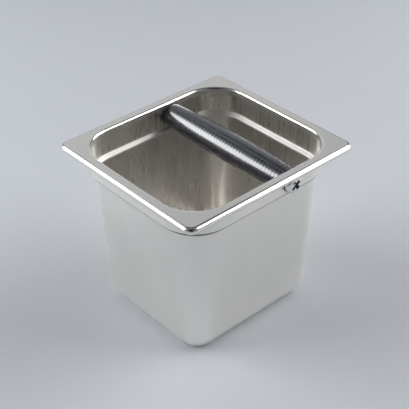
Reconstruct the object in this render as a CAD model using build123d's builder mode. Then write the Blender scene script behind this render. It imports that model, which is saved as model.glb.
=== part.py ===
from build123d import *
import os
from math import radians, tan

# Espresso knock box: a deep-drawn steel pan with a rubber-sleeved knock bar screwed across it.
# Frame: +X along the knock bar, +Y towards the side that the bar is nearer to, +Z up.
# The origin is the centre of the base's underside. All sizes are millimetres.

os.makedirs("parts", exist_ok=True)

# ---------------------------------------------------------------- driving dimensions
# Pan
rim_length = 162.0  # over the rim, along X
rim_width = 176.0  # over the rim, along Y
pan_depth = 150.0  # base's underside to the rim's top
sheet = 0.8  # steel sheet
flange_width = 10.0  # rim's edge to the wall of the mouth
rim_corner_radius = 8.0
curl_radius = 3.3  # outside of the rolled edge
mouth_corner_radius = 32.0
mouth_bend_radius = 2.2  # flange's top into the wall
band_height = 23.3  # upright band, rim's top to the shoulder
shoulder_height = 1.2
shoulder_step = 3.0  # how far the wall steps in at the shoulder
shoulder_bend_radius = 1.5
wall_draft = 3.5  # degrees, of the wall under the shoulder
base_bend_radius = 15.0  # outside, wall into base
base_corner_extra = 3.0  # base's corner radius beyond its bend radius

# Knock bar
bar_offset = 24.5  # bar's axis from the pan's centre, along Y
bar_drop = 13.4  # bar's axis under the rim's top
core_radius = 7.0
sleeve_middle_radius = 12.3
sleeve_end_radius = 10.4
rib_pitch = 3.3
rib_height = 0.08
core_chamfer = 0.8

# Screws and washers
screw_radius = 3.95  # over the thread
screw_length = 20.0  # under the head
screw_tip_chamfer = 1.0
head_radius = 7.9
head_height = 4.4
head_edge_height = 1.6  # upright rim of the head, under its dome
recess_width = 9.6  # across the cross recess
recess_arm = 3.0
recess_depth = 2.9
recess_taper = 12.0  # degrees
recess_angle = 37.0  # degrees, of one arm from Y
outer_washer_radius = 8.2
outer_washer_thickness = 1.0
inner_washer_radius = 8.8
inner_washer_thickness = 1.8
washer_edge_radius = 0.3

# Clearances
turning_clearance = 0.1  # between the pan and what turns with the bar, along X
hole_clearance = 0.08  # screw in the pan's wall, radial
washer_clearance = 0.3  # screw in a washer, radial
thread_clearance = 0.03  # screw in the tapped core, radial
tap_runout = 4.0  # tapped hole beyond the screw's tip

# ---------------------------------------------------------------- sizes that follow
rim_top = pan_depth
mouth_length = rim_length - 2 * flange_width
mouth_width = rim_width - 2 * flange_width
shoulder_top = rim_top - band_height
shoulder_foot = shoulder_top - shoulder_height
body_length = mouth_length + 2 * sheet - 2 * shoulder_step
body_width = mouth_width + 2 * sheet - 2 * shoulder_step
body_corner_radius = mouth_corner_radius + sheet - shoulder_step
base_inset = shoulder_foot * tan(radians(wall_draft))

bar_height = rim_top - bar_drop
bar_centre = Vector(0, bar_offset, bar_height)
bar_axis = Axis(bar_centre, (1, 0, 0))
bar_half_length = mouth_length / 2 - turning_clearance - inner_washer_thickness
outer_washer_seat = mouth_length / 2 + sheet + turning_clearance
head_seat = outer_washer_seat + outer_washer_thickness
tap_depth = screw_length - (head_seat - bar_half_length) + tap_runout
tap_radius = screw_radius + thread_clearance


def bar_plane(distance, side=1):
    """A plane square to the bar, that far from the pan's middle, facing outwards on that side."""
    centre = bar_centre + Vector(side * distance, 0, 0)
    return Plane(origin=centre, x_dir=(0, 1, 0), z_dir=(side, 0, 0))


def finish(part, name):
    """Label a finished piece and write its STEP file."""
    part.label = name
    export_step(part, f"parts/{name}.step")


# ---------------------------------------------------------------- pan
def level_edges(part, height, half_length=rim_length, half_width=rim_width):
    """The edges of a part that lie level at a height, whose middles are within that reach."""

    def wanted(edge):
        box = edge.bounding_box()
        level = abs(box.min.Z - height) < 0.01 and abs(box.max.Z - height) < 0.01
        middle = edge.center()
        return level and abs(middle.X) < half_length and abs(middle.Y) < half_width

    return part.edges().filter_by(wanted)


def pan_block(inset):
    """The inside of the pan's skin as one closed block, drawn in from its outer skin by inset."""
    base = (
        body_length - 2 * base_inset - 2 * inset,
        body_width - 2 * base_inset - 2 * inset,
        base_bend_radius + base_corner_extra - inset,
    )
    foot = (body_length - 2 * inset, body_width - 2 * inset, body_corner_radius - inset)
    band = (
        body_length + 2 * shoulder_step - 2 * inset,
        body_width + 2 * shoulder_step - 2 * inset,
        body_corner_radius + shoulder_step - inset,
    )
    with BuildPart() as block:
        with BuildSketch(Plane.XY.offset(inset)):
            RectangleRounded(*base)
        with BuildSketch(Plane.XY.offset(shoulder_foot)):
            RectangleRounded(*foot)
        loft(ruled=True)
        with BuildSketch(Plane.XY.offset(shoulder_foot)):
            RectangleRounded(*foot)
        with BuildSketch(Plane.XY.offset(shoulder_top)):
            RectangleRounded(*band)
        loft(ruled=True)
        with BuildSketch(Plane.XY.offset(shoulder_top)):
            RectangleRounded(*band)
        extrude(amount=band_height)
        fillet(level_edges(block, inset), base_bend_radius - inset)
        fillet(level_edges(block, shoulder_foot), shoulder_bend_radius + inset)
        fillet(level_edges(block, shoulder_top), shoulder_bend_radius + sheet - inset)
    return block.part


outer_block = pan_block(0)
inner_block = pan_block(sheet)

with BuildPart() as pan:
    add(outer_block)
    # Flat rim around the mouth
    with BuildSketch(Plane.XY.offset(rim_top - sheet)):
        RectangleRounded(
            rim_length - 2 * curl_radius,
            rim_width - 2 * curl_radius,
            rim_corner_radius - curl_radius,
        )
    extrude(amount=sheet)
    reach = (mouth_length / 2 + 2 * sheet, mouth_width / 2 + 2 * sheet)
    under_rim = level_edges(pan, rim_top - sheet, *reach)
    fillet(under_rim, mouth_bend_radius - sheet)
    add(inner_block, mode=Mode.SUBTRACT)
    mouth_edges = level_edges(pan, rim_top, *reach)
    fillet(mouth_edges, mouth_bend_radius)
    # Rolled edge: the sheet turns over and under through half a circle
    curl_height = rim_top - curl_radius
    half_length = rim_length / 2 - curl_radius
    half_width = rim_width / 2 - curl_radius
    with BuildLine(Plane.XY.offset(curl_height)) as curl_path:
        FilletPolyline(
            (-half_length, -half_width),
            (half_length, -half_width),
            (half_length, half_width),
            (-half_length, half_width),
            radius=rim_corner_radius - curl_radius,
            close=True,
        )
    curl_start = Plane(origin=curl_path.line @ 0, x_dir=(0, 0, 1), z_dir=curl_path.line % 0)
    with BuildSketch(curl_start):
        Circle(curl_radius)
        Circle(curl_radius - sheet, mode=Mode.SUBTRACT)
        Rectangle(2 * curl_radius, curl_radius, align=(Align.CENTER, Align.MAX), mode=Mode.SUBTRACT)
    sweep(path=curl_path.line)
    # Holes for the knock bar's screws, through both walls of the band
    with BuildSketch(bar_plane(0)):
        Circle(screw_radius + hole_clearance)
    extrude(amount=rim_length, both=True, mode=Mode.SUBTRACT)
finish(pan.part, "pan")


# ---------------------------------------------------------------- knock bar
with BuildPart() as knock_bar_core:
    with BuildSketch(bar_plane(-bar_half_length)):
        Circle(core_radius)
    extrude(amount=2 * bar_half_length)
    chamfer(knock_bar_core.edges(), core_chamfer)
    for side in (-1, 1):
        with Locations(bar_plane(bar_half_length, side)):
            Hole(tap_radius, tap_depth)
finish(knock_bar_core.part, "knock_bar_core")


def sleeve_radius(along):
    """The barrel-shaped sleeve's radius over its ribs, at a distance from its middle."""
    return sleeve_middle_radius - (sleeve_middle_radius - sleeve_end_radius) * (along / bar_half_length) ** 2


rib_count = round(2 * bar_half_length / rib_pitch)
rib_length = 2 * bar_half_length / rib_count
profile_plane = Plane(origin=bar_centre, x_dir=(1, 0, 0), z_dir=(0, -1, 0))
with BuildPart() as knock_bar_sleeve:
    with BuildSketch(profile_plane):
        with BuildLine():
            for rib in range(rib_count):
                left = rib * rib_length - bar_half_length
                middle = left + rib_length / 2
                right = left + rib_length
                ThreePointArc(
                    (left, sleeve_radius(left) - rib_height),
                    (middle, sleeve_radius(middle)),
                    (right, sleeve_radius(right) - rib_height),
                )
            end_radius = sleeve_radius(bar_half_length) - rib_height
            Polyline(
                (bar_half_length, end_radius),
                (bar_half_length, core_radius),
                (-bar_half_length, core_radius),
                (-bar_half_length, end_radius),
            )
        make_face()
    revolve(axis=bar_axis)
finish(knock_bar_sleeve.part, "knock_bar_sleeve")


# ---------------------------------------------------------------- screws and washers, one set at each end
def washer(seat, side, radius, thickness):
    """A flat ring round the screw, standing outwards from a distance along the bar."""
    with BuildPart() as ring:
        with BuildSketch(bar_plane(seat, side)):
            Circle(radius)
            Circle(screw_radius + washer_clearance, mode=Mode.SUBTRACT)
        extrude(amount=thickness)
        rim_edges = ring.edges().filter_by(GeomType.CIRCLE).sort_by(SortBy.RADIUS)[-2:]
        fillet(rim_edges, washer_edge_radius)
    return ring.part


def pan_head_screw(side):
    """A screw with a domed pan head and a cross recess, seated outwards on a distance along the bar."""
    dome_rise = head_height - head_edge_height
    with BuildPart() as screw:
        with BuildSketch(bar_plane(head_seat, side)):
            Circle(head_radius)
        extrude(amount=head_height)
        top_edge = screw.faces().sort_by(Axis((0, 0, 0), (side, 0, 0)))[-1].edges()
        fillet(top_edge, dome_rise)
        with BuildSketch(bar_plane(head_seat, side)):
            Circle(screw_radius)
        extrude(amount=-screw_length)
        tip_edge = screw.faces().sort_by(Axis((0, 0, 0), (side, 0, 0)))[0].edges()
        chamfer(tip_edge, screw_tip_chamfer)
        with BuildSketch(bar_plane(head_seat + head_height, side)):
            Rectangle(recess_width, recess_arm, rotation=recess_angle)
            Rectangle(recess_arm, recess_width, rotation=recess_angle)
        extrude(amount=-recess_depth, taper=recess_taper, mode=Mode.SUBTRACT)
    return screw.part


for side, end in ((-1, "left"), (1, "right")):
    finish(pan_head_screw(side), f"{end}_screw")
    finish(washer(outer_washer_seat, side, outer_washer_radius, outer_washer_thickness), f"{end}_outer_washer")
    finish(washer(bar_half_length, side, inner_washer_radius, inner_washer_thickness), f"{end}_inner_washer")
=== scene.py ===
from math import cos, fmod, pi, radians, sin, tan

import bmesh
import bpy
from bpy.props import (
    FloatProperty,
    FloatVectorProperty,
    IntProperty,
    PointerProperty,
)
from mathutils import Matrix, Vector


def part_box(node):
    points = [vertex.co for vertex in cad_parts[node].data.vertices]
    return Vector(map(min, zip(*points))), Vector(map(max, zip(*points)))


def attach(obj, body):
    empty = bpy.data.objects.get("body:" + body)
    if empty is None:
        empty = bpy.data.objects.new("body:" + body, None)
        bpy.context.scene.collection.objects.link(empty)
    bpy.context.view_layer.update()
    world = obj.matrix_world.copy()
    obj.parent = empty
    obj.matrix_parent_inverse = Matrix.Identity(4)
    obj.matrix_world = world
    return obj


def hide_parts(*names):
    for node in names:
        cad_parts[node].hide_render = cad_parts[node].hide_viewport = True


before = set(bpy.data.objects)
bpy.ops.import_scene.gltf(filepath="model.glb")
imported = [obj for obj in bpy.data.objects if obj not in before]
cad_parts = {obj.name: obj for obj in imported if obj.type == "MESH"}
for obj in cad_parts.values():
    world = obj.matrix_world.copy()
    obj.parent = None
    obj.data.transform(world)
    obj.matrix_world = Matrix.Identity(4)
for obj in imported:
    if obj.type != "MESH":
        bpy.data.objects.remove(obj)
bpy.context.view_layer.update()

bl_info = {
    "name": "Knock box",
    "version": (1, 0, 0),
    "blender": (4, 5, 0),
    "location": "3D View > Sidebar > Knock box",
    "description": "Builds an espresso knock box around its packed frame",
    "category": "Object",
}

MM = 0.001
SAME_PLACE = 0.002 * MM  # vertices nearer than this are merged


# ---------------------------------------------------------------- sizes and colours that a user may change
def length(name, description, millimetres):
    """A length property, given in millimetres and kept in metres."""
    return FloatProperty(
        name=name,
        description=description,
        default=millimetres * MM,
        min=0.0,
        unit="LENGTH",
        precision=5,
    )


def share(name, description, default):
    """A property from 0 to 1."""
    return FloatProperty(
        name=name,
        description=description,
        default=default,
        min=0.0,
        max=1.0,
        subtype="FACTOR",
    )


def colour(name, description, default):
    """A colour property in linear light."""
    return FloatVectorProperty(
        name=name,
        description=description,
        default=default,
        min=0.0,
        max=1.0,
        size=3,
        subtype="COLOR",
    )


def angle(name, description, degrees):
    """An angle property, given in degrees."""
    return FloatProperty(name=name, description=description, default=radians(degrees), subtype="ANGLE")


def power(name, description, watts):
    """A light's power property."""
    return FloatProperty(name=name, description=description, default=watts, min=0.0, unit="POWER")


class PanSizes(bpy.types.PropertyGroup):
    """Sizes of the drawn steel pan that its box doesn't give."""

    sheet: length("Sheet", "Thickness of the steel sheet", 0.8)
    flange: length("Flange", "Rim's edge to the wall of the mouth", 10.0)
    rim_corner: length("Rim corner", "Corner radius of the rim", 8.0)
    curl: length("Curl", "Outside radius of the rolled edge", 3.3)
    mouth_corner: length("Mouth corner", "Corner radius of the mouth", 32.0)
    mouth_bend: length("Mouth bend", "Radius from the flange's top into the wall", 2.2)
    band: length("Band", "Height of the upright band under the rim", 23.3)
    shoulder_height: length("Shoulder height", "Height of the sloping shoulder", 1.2)
    shoulder_step: length("Shoulder step", "How far the wall steps in at the shoulder", 3.0)
    shoulder_bend: length("Shoulder bend", "Smaller bend radius of the shoulder", 1.5)
    draft: angle("Draft", "Draft of the wall under the shoulder", 3.5)
    base_bend: length("Base bend", "Outside radius from the wall into the base", 15.0)
    base_corner_extra: length("Base corner extra", "Base's corner radius beyond its bend radius", 3.0)
    inside_polish: share("Inside polish", "How polished the inside is, from satin to a bend's polish", 0.4)
    screw_hole: length("Screw hole", "Radius of the holes for the bar's screws", 4.03)
    corner_steps: IntProperty(name="Corner steps", description="Faces around each corner", default=22, min=6)


class BarSizes(bpy.types.PropertyGroup):
    """Sizes of the knock bar, its screws and its washers."""

    ribs: IntProperty(name="Ribs", description="Ribs along the sleeve", default=42, min=2)
    rib_height: length("Rib height", "Crest of a rib over its grooves", 0.08)
    barrel: length("Barrel", "How much thicker the sleeve is in its middle than at its ends", 1.9)
    bore: length("Bore", "Radius of the sleeve's bore", 7.0)
    screw: length("Screw", "Radius over the screw's thread", 3.95)
    pitch: length("Pitch", "Pitch of the screw's thread", 1.25)
    thread_depth: length("Thread depth", "Depth of the screw's thread", 0.65)
    head_edge: length("Head edge", "Upright edge of the screw's head, under its dome", 1.6)
    recess_across: length("Recess across", "Size across the cross recess", 9.6)
    recess_arm: length("Recess arm", "Width of the recess's arms", 3.0)
    recess_depth: length("Recess depth", "Depth of the recess", 2.9)
    recess_angle: angle("Recess angle", "Turn of the recess from the frame's Y", 37.0)
    washer_bore: length("Washer bore", "Radius of the washers' holes", 4.25)
    washer_edge: length("Washer edge", "Rounding of the washers' edges", 0.3)


class Finishes(bpy.types.PropertyGroup):
    """Colours and finishes of the materials."""

    steel: colour("Steel", "Colour of the satin sheet steel", (0.865, 0.842, 0.808))
    steel_roughness: share("Steel roughness", "Roughness of the satin sheet steel", 0.38)
    polish_roughness: share("Polish roughness", "Roughness of the steel's polished bends", 0.13)
    screw: colour("Screw", "Colour of the plated screws", (0.88, 0.87, 0.86))
    rubber: colour("Rubber", "Colour of the sleeve's rubber", (0.016, 0.018, 0.023))
    rubber_roughness: share("Rubber roughness", "Roughness of the sleeve's rubber", 0.26)
    washer: colour("Washer", "Colour of the washers' rubber", (0.02, 0.02, 0.022))


class Studio(bpy.types.PropertyGroup):
    """Floor, light and camera."""

    floor: colour("Floor", "Colour of the studio floor", (0.50, 0.52, 0.545))
    sky: FloatProperty(name="Sky", description="Strength of the even light from all round", default=0.33)
    left_light: power("Left light", "Power of the left soft light", 4.0)
    core_light: power("Core light", "Power of the left light's bright middle", 16.0)
    strip_light: power("Strip light", "Power of the narrow top light", 0.25)
    right_light: power("Right light", "Power of the right soft light", 24.0)
    back_light: power("Back light", "Power of the back soft light", 1.6)
    lens: FloatProperty(name="Lens", description="Focal length of the camera", default=89.04, unit="CAMERA")
    azimuth: angle("Azimuth", "Camera's turn round the object, from the frame's -Y towards +X", 48.31)
    elevation: angle("Elevation", "Camera's height over the horizon", 35.35)
    roll: angle("Roll", "Camera's turn about its own axis", -0.47)
    distance: length("Distance", "Camera's distance from the point that it aims at", 811.56)
    aim: FloatVectorProperty(
        name="Aim",
        description="Point that the camera aims at",
        default=(20.2 * MM, -20.1 * MM, 109.9 * MM),
        subtype="XYZ",
        unit="LENGTH",
        precision=5,
    )


class KnockBoxSettings(bpy.types.PropertyGroup):
    """Everything that the sidebar shows."""

    pan: PointerProperty(type=PanSizes)
    bar: PointerProperty(type=BarSizes)
    finish: PointerProperty(type=Finishes)
    studio: PointerProperty(type=Studio)


# ---------------------------------------------------------------- places, from the frame
def half_size(node):
    """Half the size of a node's box along X, Y and Z."""
    low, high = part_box(node)
    return (high - low) / 2


def middle(node):
    """The middle of a node's box."""
    low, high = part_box(node)
    return (high + low) / 2


BAR_AXIS = middle("knock_bar_sleeve")


# ---------------------------------------------------------------- mesh helpers
def new_object(name, vertices, faces, materials):
    """A linked mesh object with outward normals, smooth faces and sharp creases."""
    mesh = bpy.data.meshes.new(name)
    mesh.from_pydata([tuple(v) for v in vertices], [], faces)
    for material in materials:
        mesh.materials.append(material)
    tidy_normals(mesh)
    piece = bpy.data.objects.new(name, mesh)
    bpy.context.scene.collection.objects.link(piece)
    return piece


def tidy_normals(mesh, crease=radians(38)):
    """Merge doubles, turn every face outwards, and shade smooth up to a crease angle."""
    work = bmesh.new()
    work.from_mesh(mesh)
    bmesh.ops.remove_doubles(work, verts=work.verts, dist=SAME_PLACE)
    bmesh.ops.recalc_face_normals(work, faces=work.faces)
    work.to_mesh(mesh)
    work.free()
    mesh.shade_smooth()
    mesh.set_sharp_from_angle(angle=crease)


def turned_rows(rows, turns):
    """Vertices turned about X: one row for each place along it, with a radius for each turn."""
    vertices = []
    for x, radii in rows:
        vertices += [(x, radius * cos(turn), radius * sin(turn)) for radius, turn in zip(radii, turns)]
    return vertices


def row_faces(rows, segments, closed=False):
    """The faces between neighbouring rows of vertices, and from the last row to the first if closed."""
    faces = []
    for row in range(rows if closed else rows - 1):
        first, second = row * segments, (row + 1) % rows * segments
        for k in range(segments):
            n = (k + 1) % segments
            faces.append([first + k, first + n, second + n, second + k])
    return faces


def full_turn(segments):
    """The angles of evenly spaced segments round an axis."""
    return [2 * pi * k / segments for k in range(segments)]


def arc(centre, radius, start, end, steps):
    """Points round a centre from one angle to another, in degrees."""
    turns = [radians(start + (end - start) * k / steps) for k in range(steps + 1)]
    return [(centre[0] + radius * cos(a), centre[1] + radius * sin(a)) for a in turns]


def take_evaluated(piece, name):
    """Replace an object with the plain mesh that its modifiers make."""
    graph = bpy.context.evaluated_depsgraph_get()
    mesh = bpy.data.meshes.new_from_object(piece.evaluated_get(graph), depsgraph=graph)
    bpy.data.objects.remove(piece)
    tidy_normals(mesh)
    mesh.name = name
    made = bpy.data.objects.new(name, mesh)
    bpy.context.scene.collection.objects.link(made)
    return made


# ---------------------------------------------------------------- geometry node helpers
def new_tree(name, sockets):
    """A geometry tree with named inputs, as (name, socket type), and one geometry output."""
    tree = bpy.data.node_groups.new(name, "GeometryNodeTree")
    for label, kind in sockets:
        tree.interface.new_socket(name=label, in_out="INPUT", socket_type=kind)
    tree.interface.new_socket(name="Geometry", in_out="OUTPUT", socket_type="NodeSocketGeometry")
    return tree, tree.nodes.new("NodeGroupInput").outputs, tree.nodes.new("NodeGroupOutput").inputs


def add_node(tree, kind, inputs=None, **settings):
    """A node with its settings and inputs; an input is a value or another node's output."""
    node = tree.nodes.new(kind)
    for key, value in settings.items():
        setattr(node, key, value)
    for key, value in (inputs or {}).items():
        if isinstance(value, bpy.types.NodeSocket):
            tree.links.new(value, node.inputs[key])
        else:
            node.inputs[key].default_value = value
    return node


def calculate(tree, operation, *values, kind="ShaderNodeMath"):
    """A math node's result."""
    return add_node(tree, kind, dict(enumerate(values)), operation=operation).outputs[0]


def finish_tree(tree, geometry, material, result):
    """End a geometry tree: instances made real, then the material set."""
    real = add_node(tree, "GeometryNodeRealizeInstances", {"Geometry": geometry}).outputs[0]
    dressed = add_node(tree, "GeometryNodeSetMaterial", {"Geometry": real, "Material": material}).outputs[0]
    tree.links.new(dressed, result["Geometry"])


def run_tree(tree, name, values):
    """Run a geometry tree with its inputs set, and return what it makes as a plain mesh object."""
    carrier = bpy.data.objects.new(name, bpy.data.meshes.new(name))
    bpy.context.scene.collection.objects.link(carrier)
    modifier = carrier.modifiers.new(tree.name, "NODES")
    modifier.node_group = tree
    sockets = {item.name: item.identifier for item in tree.interface.items_tree if item.in_out == "INPUT"}
    for label, value in values.items():
        modifier[sockets[label]] = value
    return take_evaluated(carrier, name)


# ---------------------------------------------------------------- material helpers
def new_material(name, metallic=0.0):
    """A material, its tree, its shader and an object-coordinate output."""
    material = bpy.data.materials.new(name)
    material.use_nodes = True
    tree = material.node_tree
    shader = tree.nodes["Principled BSDF"]
    shader.inputs["Metallic"].default_value = metallic
    place = tree.nodes.new("ShaderNodeTexCoord").outputs["Object"]
    return material, tree, shader, place


def noise(tree, place, scale, detail=3.0, stretch=(1, 1, 1), rough=0.55):
    """Noise by object place, with its scale in cycles per metre and a stretch along each axis."""
    mapped = add_node(tree, "ShaderNodeMapping", {"Vector": place, "Scale": stretch}).outputs[0]
    inputs = {"Vector": mapped, "Scale": scale, "Detail": detail, "Roughness": rough}
    return add_node(tree, "ShaderNodeTexNoise", inputs).outputs["Fac"]


def spread(tree, value, low, high, start=0.25, end=0.75):
    """A value moved from its own range to another, and kept inside it."""
    inputs = {"Value": value, "From Min": start, "From Max": end, "To Min": low, "To Max": high}
    return add_node(tree, "ShaderNodeMapRange", inputs).outputs["Result"]


def mix_colour(tree, factor, first, second):
    """Two colours mixed by a factor."""
    node = add_node(tree, "ShaderNodeMix", data_type="RGBA")
    for socket, value in ((node.inputs[0], factor), (node.inputs[6], first), (node.inputs[7], second)):
        if isinstance(value, bpy.types.NodeSocket):
            tree.links.new(value, socket)
        elif hasattr(value, "__len__"):
            socket.default_value = (*value, 1.0)
        else:
            socket.default_value = value
    return node.outputs[2]


def bump(tree, shader, layers):
    """Bumps laid over each other: (height, distance in metres) for each."""
    normal = None
    for height, distance in layers:
        inputs = {"Height": height, "Distance": distance, "Strength": 1.0}
        if normal is not None:
            inputs["Normal"] = normal
        normal = add_node(tree, "ShaderNodeBump", inputs).outputs[0]
    tree.links.new(normal, shader.inputs["Normal"])


def shade(tone, factor):
    """A colour made lighter or darker."""
    return tuple(min(1.0, c * factor) for c in tone)


# ---------------------------------------------------------------- materials
# How polished a row of the pan is: 0 is the satin finish of the sheet, 1 a polished bend, and from -1 down to
# -2 the colour also darkens with painted shade.
HOLE_POLISH = 0.3
DULL = -1.0  # a bend that the die left rougher than the sheet
SHADED_GROOVE = -2.0  # a dull bend with painted shade: its colour darkened for the shade under the band's overhang


def satin_steel(finish):
    """Drawn sheet steel: satin, brighter on its worked bends, with drawing marks and handling scratches, and
    painted shade in the outside's shoulder groove.
    """
    material, tree, shader, place = new_material("satin_sheet_steel", metallic=1.0)
    polish = add_node(tree, "ShaderNodeAttribute", attribute_name="polish").outputs["Fac"]
    clouds = noise(tree, place, scale=18, detail=4)
    grain = noise(tree, place, scale=2600, detail=2)
    drawn = noise(tree, place, scale=420, detail=3, stretch=(1, 1, 0.05))
    scratch = noise(tree, place, scale=700, detail=2, stretch=(0.03, 1, 0.4))
    hairs = spread(tree, scratch, low=0.0, high=1.0, start=0.70, end=0.78)
    clean = mix_colour(tree, clouds, shade(finish.steel, 0.94), shade(finish.steel, 1.05))
    # Painted shade: rows below DULL darken towards a dark steel, for the shade in the shoulder groove under
    # the band
    groove_shade = spread(tree, polish, low=1.0, high=0.0, start=SHADED_GROOVE, end=DULL)
    tone = mix_colour(tree, groove_shade, clean, shade(finish.steel, 0.38))
    tree.links.new(tone, shader.inputs["Base Color"])
    worn = spread(tree, clouds, low=finish.steel_roughness - 0.03, high=finish.steel_roughness + 0.04)
    streaked = calculate(tree, "ADD", worn, spread(tree, drawn, low=-0.025, high=0.025))
    haired = calculate(tree, "ADD", streaked, calculate(tree, "MULTIPLY", hairs, 0.10))
    finer = finish.polish_roughness - finish.steel_roughness
    polished = calculate(tree, "MULTIPLY_ADD", polish, finer, haired)
    tree.links.new(polished, shader.inputs["Roughness"])
    bump(tree, shader, [(clouds, 0.05 * MM), (drawn, 0.0012 * MM), (grain, 0.0006 * MM)])
    return material


def recess_shade(tree, place):
    """Where shade is painted: a factor that is 1 in the recesses of both screws' heads and 0 on the rest of
    the screws.
    """
    # A short cylinder round the axis, from just under the dome's flat to just under the recess's point
    reach = 5.05 * MM
    head_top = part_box("right_screw")[1].x
    below_top, below_point = head_top - 0.08 * MM, head_top - 4.0 * MM
    from_axis = calculate(tree, "SUBTRACT", place, BAR_AXIS, kind="ShaderNodeVectorMath")
    x, y, z = add_node(tree, "ShaderNodeSeparateXYZ", {"Vector": from_axis}).outputs
    along = calculate(tree, "ABSOLUTE", x)
    squares = calculate(tree, "ADD", calculate(tree, "MULTIPLY", y, y), calculate(tree, "MULTIPLY", z, z))
    near = calculate(tree, "LESS_THAN", squares, reach**2)
    sunk = calculate(tree, "LESS_THAN", along, below_top)
    in_head = calculate(tree, "GREATER_THAN", along, below_point)
    return calculate(tree, "MULTIPLY", near, calculate(tree, "MULTIPLY", sunk, in_head))


def bright_steel(finish):
    """Plated screw steel: bright, with fine turned marks and a little wear, and painted shade in its recess.
    """
    material, tree, shader, place = new_material("bright_screw_steel", metallic=1.0)
    wear = noise(tree, place, scale=600, detail=4)
    turned_marks = noise(tree, place, scale=4200, detail=2, stretch=(1, 0.3, 0.3))
    plated = mix_colour(tree, wear, shade(finish.screw, 0.9), shade(finish.screw, 1.06))
    # Painted shade: the recess gets a darker colour for the shade that falls in it
    tone = mix_colour(tree, recess_shade(tree, place), plated, shade(finish.screw, 0.6))
    tree.links.new(tone, shader.inputs["Base Color"])
    tree.links.new(spread(tree, wear, low=0.10, high=0.20), shader.inputs["Roughness"])
    bump(tree, shader, [(turned_marks, 0.003 * MM)])
    return material


def core_steel(finish):
    """Turned bar steel: satin, with marks round the bar."""
    material, tree, shader, place = new_material("turned_bar_steel", metallic=1.0)
    wear = noise(tree, place, scale=160, detail=4)
    rings = noise(tree, place, scale=3200, detail=1, stretch=(1, 0.02, 0.02))
    tone = mix_colour(tree, wear, shade(finish.steel, 0.8), shade(finish.steel, 0.95))
    tree.links.new(tone, shader.inputs["Base Color"])
    tree.links.new(spread(tree, rings, low=0.28, high=0.42), shader.inputs["Roughness"])
    bump(tree, shader, [(rings, 0.006 * MM)])
    return material


def sleeve_rubber(finish):
    """Moulded black rubber: glossy, with a fine skin and a few dusty specks."""
    material, tree, shader, place = new_material("ribbed_black_rubber")
    dust = (0.06, 0.06, 0.065)
    clouds = noise(tree, place, scale=90, detail=4)
    skin = noise(tree, place, scale=2400, detail=3)
    specks = spread(tree, noise(tree, place, scale=900, detail=2), low=0.0, high=1.0, start=0.62, end=0.72)
    base = mix_colour(tree, clouds, shade(finish.rubber, 0.8), shade(finish.rubber, 1.3))
    dusty = mix_colour(tree, calculate(tree, "MULTIPLY", specks, 0.25), base, dust)
    tree.links.new(dusty, shader.inputs["Base Color"])
    rough = spread(tree, clouds, low=finish.rubber_roughness - 0.04, high=finish.rubber_roughness + 0.06)
    dull = calculate(tree, "ADD", rough, calculate(tree, "MULTIPLY", specks, 0.12))
    tree.links.new(dull, shader.inputs["Roughness"])
    shader.inputs["IOR"].default_value = 1.6
    shader.inputs["Coat Weight"].default_value = 1.0
    shader.inputs["Coat Roughness"].default_value = 0.12
    shader.inputs["Coat IOR"].default_value = 1.5
    bump(tree, shader, [(clouds, 0.008 * MM), (skin, 0.003 * MM)])
    return material


def washer_rubber(finish):
    """Washer rubber: black and matt, with a fine grain."""
    material, tree, shader, place = new_material("matt_washer_rubber")
    clouds = noise(tree, place, scale=500, detail=4)
    grain = noise(tree, place, scale=5200, detail=2)
    base = mix_colour(tree, clouds, shade(finish.washer, 0.7), shade(finish.washer, 1.5))
    tree.links.new(base, shader.inputs["Base Color"])
    tree.links.new(spread(tree, clouds, low=0.42, high=0.62), shader.inputs["Roughness"])
    bump(tree, shader, [(grain, 0.01 * MM)])
    return material


def floor_paint(studio):
    """Smooth pale floor, with the faintest unevenness."""
    material, tree, shader, place = new_material("pale_floor")
    clouds = noise(tree, place, scale=2.2, detail=3)
    tone = mix_colour(tree, clouds, shade(studio.floor, 0.985), shade(studio.floor, 1.015))
    tree.links.new(tone, shader.inputs["Base Color"])
    tree.links.new(spread(tree, clouds, low=0.62, high=0.70), shader.inputs["Roughness"])
    return material


# ---------------------------------------------------------------- pan
STAND_OFF = 0.5 * MM  # from a bend to the row that keeps the shading of the flat beside it
WINDOW = 7 * MM  # half the side of the square left open in the band for a screw hole


def rounded_corner(before, corner, after, radius, steps):
    """The arc that rounds a corner of a line in the (half length, height) plane."""
    before, corner, after = (Vector(p) for p in (before, corner, after))
    back = (before - corner).normalized()
    ahead = (after - corner).normalized()
    half = back.angle(ahead) / 2
    centre = corner + (back + ahead).normalized() * radius / sin(half)
    start = corner + back * radius / tan(half) - centre
    end = corner + ahead * radius / tan(half) - centre
    sweep = start.angle_signed(end)
    return [tuple(centre + Matrix.Rotation(-sweep * k / steps, 2) @ start) for k in range(steps + 1)]


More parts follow.
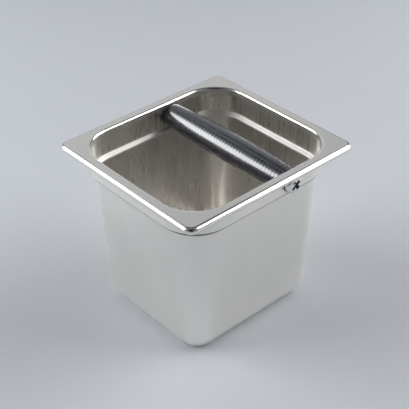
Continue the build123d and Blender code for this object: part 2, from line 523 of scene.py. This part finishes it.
class PanSection:
    """The pan's section on one side, as stations from the inside's middle, over the rim, to the underside."""

    def __init__(self, sizes):
        half = half_size("pan")
        self.sizes = sizes
        self.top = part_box("pan")[1].z
        self.rim = half.x
        self.wider = half.y - half.x
        self.mouth = self.rim - sizes.flange
        self.mouth_centre = self.mouth - sizes.mouth_corner
        self.rim_centre = self.rim - sizes.rim_corner
        self.shoulder_top = self.top - sizes.band
        self.shoulder_foot = self.shoulder_top - sizes.shoulder_height
        self.lean = tan(sizes.draft)
        outer_foot = self.mouth + sizes.sheet - sizes.shoulder_step
        outer_base = outer_foot - self.shoulder_foot * self.lean
        self.base_centre = outer_base - sizes.base_bend - sizes.base_corner_extra
        self.stations = []

    def add(self, points, centres, polish=0.0):
        """Stations at points, each with its corner's centre and how polished it is, a value below -1 also
        giving painted shade.
        """
        if not hasattr(centres, "__len__"):
            centres = [centres] * len(points)
        for (half, height), centre in zip(points, centres):
            self.stations.append((half, height, centre, polish))

    def wall_centre(self, height, bottom):
        """Where the corner's centre is at a height of the drafted wall."""
        share_up = (height - bottom) / (self.shoulder_foot - bottom)
        return self.base_centre + (self.mouth_centre - self.base_centre) * min(1.0, max(0.0, share_up))

    def skin(self, inset, polish=0.0, groove=DULL):
        """One skin from the base up to the band, drawn in from the outside by inset; its shoulder bends take
        the groove's value, which on the outside is painted shade.
        """
        sizes = self.sizes
        base_rows = (0.55, 0.8)
        wall_rows = (0.008, 0.05, 0.2, 0.35, 0.5, 0.65, 0.8, 0.95, 0.992)
        bend_steps = (18, 6, 6)
        foot = self.mouth + sizes.sheet - sizes.shoulder_step - inset
        band = self.mouth + sizes.sheet - inset
        base = foot - (self.shoulder_foot - inset) * self.lean
        corners = [
            (0.0, inset),
            (base, inset),
            (foot, self.shoulder_foot),
            (band, self.shoulder_top),
            (band, self.top),
        ]
        bends = (
            sizes.base_bend - inset,
            sizes.shoulder_bend + inset,
            sizes.shoulder_bend + sizes.sheet - inset,
        )
        arcs = []
        for k, (bend, steps) in enumerate(zip(bends, bend_steps)):
            arcs.append(rounded_corner(corners[k], corners[k + 1], corners[k + 2], bend, steps))
        base_arc, foot_arc, top_arc = arcs
        self.add([(base_arc[0][0] * f, inset) for f in base_rows], self.base_centre * base_rows[0], polish)
        base_centres = []
        for k, (_, height) in enumerate(base_arc):
            blend = (k / (len(base_arc) - 1)) ** 2
            growth = self.wall_centre(height, inset) - self.base_centre
            base_centres.append(self.base_centre + growth * blend)
        self.add([(base_arc[0][0] - STAND_OFF, inset)], self.base_centre, polish)
        self.add(base_arc, base_centres, polish)
        low, high = Vector(base_arc[-1]), Vector(foot_arc[0])
        wall = [tuple(low.lerp(high, f)) for f in wall_rows]
        self.add(wall, [self.wall_centre(height, inset) for _, height in wall], polish)
        # The shoulder's bends take the groove's value: on the outside that is painted shade under the band's
        # overhang
        self.add(foot_arc + top_arc[:-1], self.mouth_centre, groove)
        self.add(top_arc[-1:], self.mouth_centre, DULL)
        self.add([(band, top_arc[-1][1] + STAND_OFF)], self.mouth_centre, polish)
        self.add([(band, BAR_AXIS.z - WINDOW), (band, BAR_AXIS.z + WINDOW)], self.mouth_centre, polish)

    def rim_and_curl(self):
        """Mouth bend, flange and rolled edge, from the inside's band to the outside's."""
        sizes = self.sizes
        bend_polish, curl_polish, curl_inside_polish, bend_under_polish = 1.0, 1.0, 0.4, 0.3
        flange_rows = (0.06, 0.3, 0.55, 0.8, 0.96)
        bend_x, bend_z = self.mouth + sizes.mouth_bend, self.top - sizes.mouth_bend
        curl_x, curl_z = self.rim - sizes.curl, self.top - sizes.curl
        bend_row = bend_z - STAND_OFF
        flange = [bend_x + (curl_x - bend_x) * f for f in flange_rows]
        centres = [self.mouth_centre + (self.rim_centre - self.mouth_centre) * f for f in flange_rows]
        outside_bend = arc((bend_x, bend_z), sizes.mouth_bend, 180, 90, 9)
        inside_bend = arc((bend_x, bend_z), sizes.mouth_bend - sizes.sheet, 90, 180, 6)
        outside_curl = arc((curl_x, curl_z), sizes.curl, 90, -90, 22)
        inside_curl = arc((curl_x, curl_z), sizes.curl - sizes.sheet, -90, 90, 14)
        self.add([(self.mouth, bend_row)], self.mouth_centre)
        self.add(outside_bend, self.mouth_centre, bend_polish)
        self.add([(x, self.top) for x in flange], centres)
        self.add(outside_curl, self.rim_centre, curl_polish)
        self.add(inside_curl, self.rim_centre, curl_inside_polish)
        self.add([(x, self.top - sizes.sheet) for x in flange[::-1]], centres[::-1])
        self.add(inside_bend, self.mouth_centre, bend_under_polish)
        self.add([(self.mouth + sizes.sheet, bend_row)], self.mouth_centre)

    def build(self):
        """All stations in order, and the row of each skin's window for the screw holes."""
        self.skin(self.sizes.sheet, self.sizes.inside_polish)
        inner_window = len(self.stations) - 2
        self.rim_and_curl()
        inside = self.stations
        self.stations = []
        # The outside's shoulder groove is painted dark: painted shade under the band's overhang
        self.skin(0.0, groove=SHADED_GROOVE)
        outside = self.stations[::-1]
        outer_window = len(inside)
        self.stations = inside + outside
        return self.stations, (inner_window, outer_window)


def pan_outline(station, wider, steps):
    """One closed line round the pan at a station, and the column where each end's window begins."""
    half, height, centre, _ = station
    radius = max(half - centre, 0.0)
    across = centre + wider
    ease = min(1.5 * MM, centre / 8)  # from a corner to the point that keeps its shading off the side
    near, far = BAR_AXIS.y - WINDOW, BAR_AXIS.y + WINDOW
    first_corners = ((-half, far), (half, near))
    corners = [(centre, across, 0), (-centre, across, 90), (-centre, -across, 180), (centre, -across, 270)]
    sides = [
        [(centre - ease, half + wider), (0.0, half + wider), (ease - centre, half + wider)],
        [(-half, across - ease), (-half, far), (-half, near), (-half, 0.0), (-half, ease - across)],
        [(ease - centre, -half - wider), (0.0, -half - wider), (centre - ease, -half - wider)],
        [(half, ease - across), (half, 0.0), (half, near), (half, far), (half, across - ease)],
    ]
    line, windows = [], []
    for (x, y, start), side in zip(corners, sides):
        line += arc((x, y), radius, start, start + 90, steps)
        windows += [len(line) + k for k, place in enumerate(side) if place in first_corners]
        line += side
    return [(x, y, height) for x, y in line], windows


def hole_patch(vertices, corners, x, radius, steps=8):
    """Faces from a window's four corners to a round hole; returns them and the hole's vertices in order."""
    first = len(vertices)
    angles = []
    for index in corners:
        place = Vector(vertices[index])
        angles.append(Vector((1, 0)).angle_signed(Vector((place.y - BAR_AXIS.y, place.z - BAR_AXIS.z))))
    turn = 1 if fmod(angles[0] - angles[1] + 4 * pi, 2 * pi) < pi else -1
    for k in range(4 * steps):
        way = -angles[0] + turn * 2 * pi * k / (4 * steps)
        vertices.append((x, BAR_AXIS.y + radius * cos(way), BAR_AXIS.z + radius * sin(way)))
    ring = list(range(first, first + 4 * steps))
    faces = []
    for k in range(4):
        part = [ring[(k * steps + j) % len(ring)] for j in range(steps + 1)]
        faces.append([corners[k], corners[(k + 1) % 4]] + part[::-1])
    return faces, ring


def build_pan(sizes, material):
    """The pan's mesh: a closed sheet-metal shell, row by row, with a hole in each end of its band."""
    section = PanSection(sizes)
    stations, window_rows = section.build()
    vertices, faces, polish = [], [], []
    for station in stations:
        line, windows = pan_outline(station, section.wider, sizes.corner_steps)
        vertices += line
        polish += [station[3]] * len(line)
    count = len(line)
    holes = {row: {} for row in window_rows}
    for row in range(len(stations) - 1):
        for column in range(count):
            after = (column + 1) % count
            low, high = row * count, (row + 1) * count
            face = [low + column, low + after, high + after, high + column]
            if row in window_rows and column in windows:
                holes[row][column] = face
            else:
                faces.append(face)
    faces.append(list(range(count)))
    faces.append(list(range((len(stations) - 1) * count, len(stations) * count)))
    for column in windows:
        rings = []
        for row in window_rows:
            corners = holes[row][column]
            patch, ring = hole_patch(vertices, corners, vertices[corners[0]][0], sizes.screw_hole)
            faces += patch
            rings.append(ring)
        inner, outer = rings
        partner = {}
        for i in inner:
            partner[i] = min(outer, key=lambda o: (Vector(vertices[o]) - Vector(vertices[i])).length)
        for k, i in enumerate(inner):
            n = inner[(k + 1) % len(inner)]
            faces.append([i, n, partner[n], partner[i]])
    polish += [HOLE_POLISH] * (len(vertices) - len(polish))
    mesh = bpy.data.meshes.new("steel_pan")
    mesh.from_pydata(vertices, [], faces)
    mesh.attributes.new("polish", "FLOAT", "POINT").data.foreach_set("value", polish)
    mesh.materials.append(material)
    tidy_normals(mesh)
    pan = bpy.data.objects.new("steel_pan", mesh)
    bpy.context.scene.collection.objects.link(pan)
    return pan


# ---------------------------------------------------------------- knock bar
def sleeve_tree():
    """A ribbed, barrel-shaped sleeve: its section is swept round a circle as wide as the bore."""
    sockets = [
        ("Length", "NodeSocketFloat"),
        ("Middle radius", "NodeSocketFloat"),
        ("Barrel", "NodeSocketFloat"),
        ("Bore", "NodeSocketFloat"),
        ("Ribs", "NodeSocketInt"),
        ("Steps per rib", "NodeSocketInt"),
        ("Rib height", "NodeSocketFloat"),
        ("Round steps", "NodeSocketInt"),
        ("Centre", "NodeSocketVector"),
        ("Material", "NodeSocketMaterial"),
    ]
    tree, given, result = new_tree("ribbed sleeve", sockets)

    def maths(operation, *values):
        return calculate(tree, operation, *values)

    def from_centre_squared(fraction):
        """The square of how far a fraction is from its middle: 1 at both ends, 0 in the middle."""
        return maths("POWER", maths("ABSOLUTE", maths("MULTIPLY_ADD", fraction, 2.0, -1.0)), 2.0)

    # A line of points: the ribs' outside from end to end, then two corners at the bore
    steps = maths("MULTIPLY", given["Ribs"], given["Steps per rib"])
    ends = {"Start": (0, 0, 0), "End": (1, 0, 0)}
    line = add_node(tree, "GeometryNodeCurvePrimitiveLine", ends).outputs[0]
    evenly = {"Curve": line, "Count": maths("ADD", steps, 3.0)}
    points = add_node(tree, "GeometryNodeResampleCurve", evenly, mode="COUNT").outputs[0]
    index = add_node(tree, "GeometryNodeInputIndex").outputs[0]
    on_bore = maths("GREATER_THAN", index, maths("ADD", steps, 0.5))
    on_last = maths("GREATER_THAN", index, maths("ADD", steps, 1.5))
    outside = maths("SUBTRACT", 1.0, on_bore)

    # Each point's radius
    along = maths("DIVIDE", index, steps)
    along_rib = maths("FRACT", maths("DIVIDE", index, given["Steps per rib"]))
    thinner = maths("MULTIPLY", from_centre_squared(along), given["Barrel"])
    groove = maths("MULTIPLY", from_centre_squared(along_rib), given["Rib height"])
    ribbed = maths("SUBTRACT", maths("SUBTRACT", given["Middle radius"], thinner), groove)
    radius = maths("ADD", maths("MULTIPLY", ribbed, outside), maths("MULTIPLY", given["Bore"], on_bore))

    # Each point's place along the sleeve
    at_far_end = maths("MULTIPLY", on_bore, maths("SUBTRACT", 1.0, on_last))
    way = maths("ADD", maths("MULTIPLY", along, outside), at_far_end)
    lengthwise = maths("MULTIPLY", maths("SUBTRACT", way, 0.5), given["Length"])
    outwards = maths("SUBTRACT", radius, given["Bore"])
    place = add_node(tree, "ShaderNodeCombineXYZ", {"X": outwards, "Y": lengthwise}).outputs[0]
    section = add_node(tree, "GeometryNodeSetPosition", {"Geometry": points, "Position": place}).outputs[0]
    closed = add_node(tree, "GeometryNodeSetSplineCyclic", {"Geometry": section, "Cyclic": True}).outputs[0]

    # The section swept round the bore and laid along the bar
    round_bore = {"Resolution": given["Round steps"], "Radius": given["Bore"]}
    circle = add_node(tree, "GeometryNodeCurvePrimitiveCircle", round_bore).outputs[0]
    swept = add_node(tree, "GeometryNodeCurveToMesh", {"Curve": circle, "Profile Curve": closed}).outputs[0]
    on_bar = {"Geometry": swept, "Rotation": (0, pi / 2, 0), "Translation": given["Centre"]}
    laid = add_node(tree, "GeometryNodeTransform", on_bar).outputs[0]
    finish_tree(tree, laid, given["Material"], result)
    return tree


def both_ends_tree():
    """Puts a piece made at the origin, facing +X, at both ends of the bar, facing outwards."""
    sockets = [
        ("Piece", "NodeSocketObject"),
        ("Seat", "NodeSocketFloat"),
        ("Centre", "NodeSocketVector"),
        ("Material", "NodeSocketMaterial"),
    ]
    tree, given, result = new_tree("one at each end", sockets)
    index = add_node(tree, "GeometryNodeInputIndex").outputs[0]
    side = calculate(tree, "MULTIPLY_ADD", index, 2.0, -1.0)
    out = calculate(tree, "MULTIPLY", side, given["Seat"])
    seat = add_node(tree, "ShaderNodeCombineXYZ", {"X": out}).outputs[0]
    place = calculate(tree, "ADD", seat, given["Centre"], kind="ShaderNodeVectorMath")
    points = add_node(tree, "GeometryNodePoints", {"Count": 2, "Position": place}).outputs[0]
    turn = calculate(tree, "MULTIPLY", calculate(tree, "SUBTRACT", 1.0, index), pi)
    about_z = add_node(tree, "ShaderNodeCombineXYZ", {"Z": turn}).outputs[0]
    rotation = add_node(tree, "FunctionNodeEulerToRotation", {"Euler": about_z}).outputs[0]
    source = {"Object": given["Piece"], "As Instance": True}
    piece = add_node(tree, "GeometryNodeObjectInfo", source).outputs["Geometry"]
    pair = {"Points": points, "Instance": piece, "Rotation": rotation}
    placed = add_node(tree, "GeometryNodeInstanceOnPoints", pair).outputs[0]
    finish_tree(tree, placed, given["Material"], result)
    return tree


def put_at_both_ends(piece, name, seat):
    """One copy of a piece at each end of the bar, as one plain mesh."""
    tree = bpy.data.node_groups.get("one at each end") or both_ends_tree()
    material = piece.data.materials[0]
    values = {"Piece": piece, "Seat": seat, "Centre": BAR_AXIS, "Material": material}
    made = run_tree(tree, name, values)
    bpy.data.objects.remove(piece)
    return made


def build_washer(name, node, sizes, material):
    """A flat ring with rounded edges, as large as its node on the right, and how far out its seat is."""
    segments, edge_steps = 72, 5
    half = half_size(node)
    thick, radius, edge = 2 * half.x, half.y, sizes.washer_edge
    outline = [(0.0, sizes.washer_bore), (thick, sizes.washer_bore)]
    outline += [(x, r) for r, x in arc((radius - edge, thick - edge), edge, 90, 0, edge_steps)]
    outline += [(x, r) for r, x in arc((radius - edge, edge), edge, 0, -90, edge_steps)]
    vertices = turned_rows([(x, [r] * segments) for x, r in outline], full_turn(segments))
    ring = new_object(name, vertices, row_faces(len(outline), segments, closed=True), [material])
    return ring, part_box(node)[0].x


def head_outline(sizes, head_top, head_radius):
    """The head's (x, radius) points from its seat to the edge of the flat on its dome."""
    edge_break, dome_steps = 0.15 * MM, 10
    dome = head_top - sizes.head_edge
    outline = [(0.0, head_radius - edge_break), (edge_break, head_radius), (sizes.head_edge, head_radius)]
    for k in range(1, dome_steps + 1):
        turn = pi / 2 * k / dome_steps
        outline.append((sizes.head_edge + dome * sin(turn), head_radius - dome * (1 - cos(turn))))
    outline.append((head_top, (head_radius - dome) / 2))
    return outline


def thread_radius(sizes, tip, x, turn):
    """The thread's radius at a place along the shank and a turn round it."""
    tip_chamfer, plain_under_head = 1.0 * MM, 1.2 * MM
    flank, crest = 1.25, 0.12  # slope of the flanks, and how much of them the flat crest cuts off
    inside_tip = max(0.0, tip_chamfer - (x - tip))
    fade = min(1.0, max(0.0, (-x - plain_under_head) / sizes.pitch))
    phase = abs(2 * ((x / sizes.pitch - turn / (2 * pi)) % 1.0) - 1)
    depth = sizes.thread_depth * min(1.0, max(0.0, flank * phase - crest)) * fade
    return min(sizes.screw - depth, sizes.screw - inside_tip)


def build_screw(sizes, material):
    """A pan-head screw facing +X, its domed head seated on the origin, and how far out that seat is."""
    segments, rows_per_pitch = 64, 10
    low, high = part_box("right_screw")
    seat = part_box("right_outer_washer")[1].x
    tip, head_top = low.x - seat, high.x - seat
    turns = full_turn(segments)
    rows_along = round(-tip / sizes.pitch * rows_per_pitch)
    rows = []
    for k in range(rows_along + 1):
        x = tip - tip * k / rows_along
        rows.append((x, [thread_radius(sizes, tip, x, turn) for turn in turns]))
    for x, radius in head_outline(sizes, head_top, half_size("right_screw").y):
        rows.append((x, [radius] * segments))
    vertices = turned_rows(rows, turns)
    faces = row_faces(len(rows), segments)
    faces.append(list(range(segments)))
    faces.append(list(range(len(vertices) - segments, len(vertices))))
    screw = new_object("screw", vertices, faces, [material])
    cutter = build_recess(sizes, head_top, material)
    cut = screw.modifiers.new("recess", "BOOLEAN")
    cut.operation = "DIFFERENCE"
    cut.solver = "EXACT"
    cut.object = cutter
    made = take_evaluated(screw, "screw_with_recess")
    bpy.data.objects.remove(cutter)
    return made, seat


def build_recess(sizes, head_top, material):
    """The cross recess as a solid: four tapering arms that meet in a pointed middle."""
    reach, arm = sizes.recess_across / 2, sizes.recess_arm / 2
    above, floor_level = head_top + 0.6 * MM, head_top - sizes.recess_depth
    point_depth = 0.9 * MM
    vertices, faces, rings = [], [], []
    # Each level's place, and how much wider or narrower than the recess its reach and its arms are
    for x, reach_share, arm_share in ((above, 1.06, 1.08), (floor_level, 0.62, 0.72)):
        far, near = reach * reach_share, arm * arm_share
        ring = []
        for k in range(4):
            turn = sizes.recess_angle + k * pi / 2
            along = Vector((cos(turn), sin(turn)))
            aside = Vector((-sin(turn), cos(turn)))
            inner_corner = (along - aside) * near
            for place in (inner_corner, along * far - aside * near, along * far + aside * near):
                ring.append(len(vertices))
                vertices.append((x, place.x, place.y))
        rings.append(ring)
    top, floor = rings
    point = len(vertices)
    vertices.append((floor_level - point_depth, 0.0, 0.0))
    for k in range(len(top)):
        n = (k + 1) % len(top)
        faces.append([top[k], top[n], floor[n], floor[k]])
        faces.append([floor[k], floor[n], point])
    faces.append(top)
    return new_object("recess_cutter", vertices, faces, [material])


# ---------------------------------------------------------------- stage
# Each light's name, place, width and height, the setting that holds its power, and its tint
LIGHTS = (
    ("left_softbox", (-0.88, -0.88, 0.68), (1.5, 1.35), "left_light", (0.97, 0.985, 1.0)),
    ("left_core", (-0.87, -0.87, 0.62), (1.0, 0.7), "core_light", (0.97, 0.985, 1.0)),
    ("top_strip", (-0.81, 0.06, 1.25), (0.10, 0.4), "strip_light", (1.0, 1.0, 1.0)),
    ("right_softbox", (0.64, 1.07, 0.69), (1.3, 1.36), "right_light", (0.985, 0.99, 1.0)),
    ("back_softbox", (-1.15, 0.7, 0.85), (1.4, 1.0), "back_light", (0.97, 0.98, 1.0)),
)
LIGHTS_AIM = (0.0, 0.0, 0.08)


def add_light(name, place, aim, size, watts, tint):
    """A large soft area light that the camera doesn't see."""
    data = bpy.data.lights.new(name, "AREA")
    data.shape = "RECTANGLE"
    data.size, data.size_y = size
    data.energy = watts
    data.color = tint
    light = bpy.data.objects.new(name, data)
    light.location = place
    light.rotation_euler = (Vector(place) - Vector(aim)).to_track_quat("Z", "Y").to_euler()
    light.visible_camera = False
    bpy.context.scene.collection.objects.link(light)


def towards_camera(studio):
    """The direction from the object to the camera."""
    turn, height = studio.azimuth, studio.elevation
    return Vector((sin(turn) * cos(height), -cos(turn) * cos(height), sin(height)))


def add_camera(studio):
    """The camera, at its angle round the object."""
    back = towards_camera(studio)
    right = Vector((cos(studio.azimuth), sin(studio.azimuth), 0.0))
    up = back.cross(right)
    right_rolled = right * cos(studio.roll) + up * sin(studio.roll)
    up_rolled = up * cos(studio.roll) - right * sin(studio.roll)
    turn = Matrix((right_rolled, up_rolled, back)).transposed().to_4x4()
    data = bpy.data.cameras.new("camera")
    data.lens = studio.lens
    data.sensor_width = 36.0
    data.clip_start, data.clip_end = 0.05, 50.0
    camera = bpy.data.objects.new("camera", data)
    camera.matrix_world = Matrix.Translation(Vector(studio.aim) + back * studio.distance) @ turn
    bpy.context.scene.collection.objects.link(camera)
    bpy.context.scene.camera = camera


def add_floor(studio):
    """A wide pale floor under the object."""
    half, cells = 6.0, 12
    lines = [-half + 2 * half * k / cells for k in range(cells + 1)]
    vertices = [(x, y, 0.0) for y in lines for x in lines]
    faces = []
    for j in range(cells):
        for i in range(cells):
            k = j * (cells + 1) + i
            faces.append([k, k + 1, k + cells + 2, k + cells + 1])
    floor = new_object("studio_floor", vertices, faces, [floor_paint(studio)])
    if floor.data.polygons[0].normal.z < 0:
        floor.data.flip_normals()


def light_the_air(studio):
    """Even light from all round, brighter towards the horizon than overhead, and dark round the camera."""
    horizon, overhead, unlit = (0.86, 0.90, 0.95), (0.42, 0.44, 0.47), (0.01, 0.01, 0.012)
    dark_edge, dark_middle = 0.80, 0.97  # cosines of the angle from the camera's direction
    world = bpy.data.worlds.new("studio_air")
    world.use_nodes = True
    tree = world.node_tree
    background = tree.nodes["Background"]
    direction = add_node(tree, "ShaderNodeTexCoord").outputs["Generated"]
    height = add_node(tree, "ShaderNodeSeparateXYZ", {"Vector": direction}).outputs["Z"]
    raised = spread(tree, height, low=0.0, high=1.0, start=0.0, end=0.9)
    tone = mix_colour(tree, raised, horizon, overhead)
    both = {0: direction, 1: towards_camera(studio)}
    facing = add_node(tree, "ShaderNodeVectorMath", both, operation="DOT_PRODUCT").outputs["Value"]
    darkness = spread(tree, facing, low=0.0, high=1.0, start=dark_edge, end=dark_middle)
    tree.links.new(mix_colour(tree, darkness, tone, unlit), background.inputs["Color"])
    background.inputs["Strength"].default_value = studio.sky
    bpy.context.scene.world = world


# ---------------------------------------------------------------- operators
class BuildOperator:
    """What the operators that build pieces share."""

    bl_options = {"REGISTER", "UNDO"}


class KNOCKBOX_OT_pan(BuildOperator, bpy.types.Operator):
    """Build the drawn steel pan with its rolled rim and screw holes"""

    bl_idname = "knock_box.pan"
    bl_label = "Steel pan"

    def execute(self, context):
        settings = context.scene.knock_box
        pan = build_pan(settings.pan, satin_steel(settings.finish))
        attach(pan, "pan")
        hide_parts("pan")
        return {"FINISHED"}


class KNOCKBOX_OT_core(BuildOperator, bpy.types.Operator):
    """Give the bar's turned steel core its finish"""

    bl_idname = "knock_box.core"
    bl_label = "Bar core"

    def execute(self, context):
        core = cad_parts["knock_bar_core"]
        core.data.materials.clear()
        core.data.materials.append(core_steel(context.scene.knock_box.finish))
        return {"FINISHED"}


class KNOCKBOX_OT_sleeve(BuildOperator, bpy.types.Operator):
    """Build the ribbed rubber sleeve of the knock bar"""

    bl_idname = "knock_box.sleeve"
    bl_label = "Ribbed sleeve"

    def execute(self, context):
        settings = context.scene.knock_box
        half = half_size("knock_bar_sleeve")
        values = {
            "Length": 2 * half.x,
            "Middle radius": half.y,
            "Barrel": settings.bar.barrel,
            "Bore": settings.bar.bore,
            "Ribs": settings.bar.ribs,
            "Steps per rib": 8,
            "Rib height": settings.bar.rib_height,
            "Round steps": 88,
            "Centre": BAR_AXIS,
            "Material": sleeve_rubber(settings.finish),
        }
        sleeve = run_tree(sleeve_tree(), "ribbed_sleeve", values)
        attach(sleeve, "knock_bar")
        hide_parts("knock_bar_sleeve")
        return {"FINISHED"}


class KNOCKBOX_OT_washers(BuildOperator, bpy.types.Operator):
    """Build the washers inside and outside each wall"""

    bl_idname = "knock_box.washers"
    bl_label = "Washers"

    def execute(self, context):
        settings = context.scene.knock_box
        material = washer_rubber(settings.finish)
        for kind in ("outer", "inner"):
            node = f"right_{kind}_washer"
            ring, seat = build_washer(f"{kind}_washer", node, settings.bar, material)
            pair = put_at_both_ends(ring, f"{kind}_washers", seat)
            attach(pair, "knock_bar")
            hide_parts(node, f"left_{kind}_washer")
        return {"FINISHED"}


class KNOCKBOX_OT_screws(BuildOperator, bpy.types.Operator):
    """Build the two pan-head screws that hold the bar"""

    bl_idname = "knock_box.screws"
    bl_label = "Screws"

    def execute(self, context):
        settings = context.scene.knock_box
        screw, seat = build_screw(settings.bar, bright_steel(settings.finish))
        pair = put_at_both_ends(screw, "bar_screws", seat)
        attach(pair, "knock_bar")
        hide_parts("left_screw", "right_screw")
        return {"FINISHED"}


class KNOCKBOX_OT_stage(BuildOperator, bpy.types.Operator):
    """Build the studio: floor, soft lights and camera"""

    bl_idname = "knock_box.stage"
    bl_label = "Studio"

    def execute(self, context):
        studio = context.scene.knock_box.studio
        add_floor(studio)
        light_the_air(studio)
        for name, place, size, power_name, tint in LIGHTS:
            add_light(name, place, LIGHTS_AIM, size, getattr(studio, power_name), tint)
        add_camera(studio)
        context.scene.view_settings.view_transform = "Standard"
        return {"FINISHED"}


class KNOCKBOX_PT_sidebar(bpy.types.Panel):
    """Sizes, finishes and build steps of the knock box"""

    bl_idname = "KNOCKBOX_PT_sidebar"
    bl_label = "Knock box"
    bl_space_type = "VIEW_3D"
    bl_region_type = "UI"
    bl_category = "Knock box"

    def draw(self, context):
        settings = context.scene.knock_box
        for group in (settings.pan, settings.bar, settings.finish, settings.studio):
            box = self.layout.box()
            for key in group.__annotations__:
                box.prop(group, key)
        for operator in STEPS:
            self.layout.operator(operator.bl_idname)


GROUPS = (PanSizes, BarSizes, Finishes, Studio, KnockBoxSettings)
STEPS = (
    KNOCKBOX_OT_pan,
    KNOCKBOX_OT_core,
    KNOCKBOX_OT_sleeve,
    KNOCKBOX_OT_washers,
    KNOCKBOX_OT_screws,
    KNOCKBOX_OT_stage,
)


def register():
    for group in (*GROUPS, *STEPS, KNOCKBOX_PT_sidebar):
        bpy.utils.register_class(group)
    bpy.types.Scene.knock_box = PointerProperty(type=KnockBoxSettings)


def unregister():
    del bpy.types.Scene.knock_box
    for group in reversed((*GROUPS, *STEPS, KNOCKBOX_PT_sidebar)):
        bpy.utils.unregister_class(group)


def main():
    """Register the add-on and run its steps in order."""
    register()
    for operator in STEPS:
        group, name = operator.bl_idname.split(".")
        getattr(getattr(bpy.ops, group), name)()


if __name__ == "__main__":
    main()
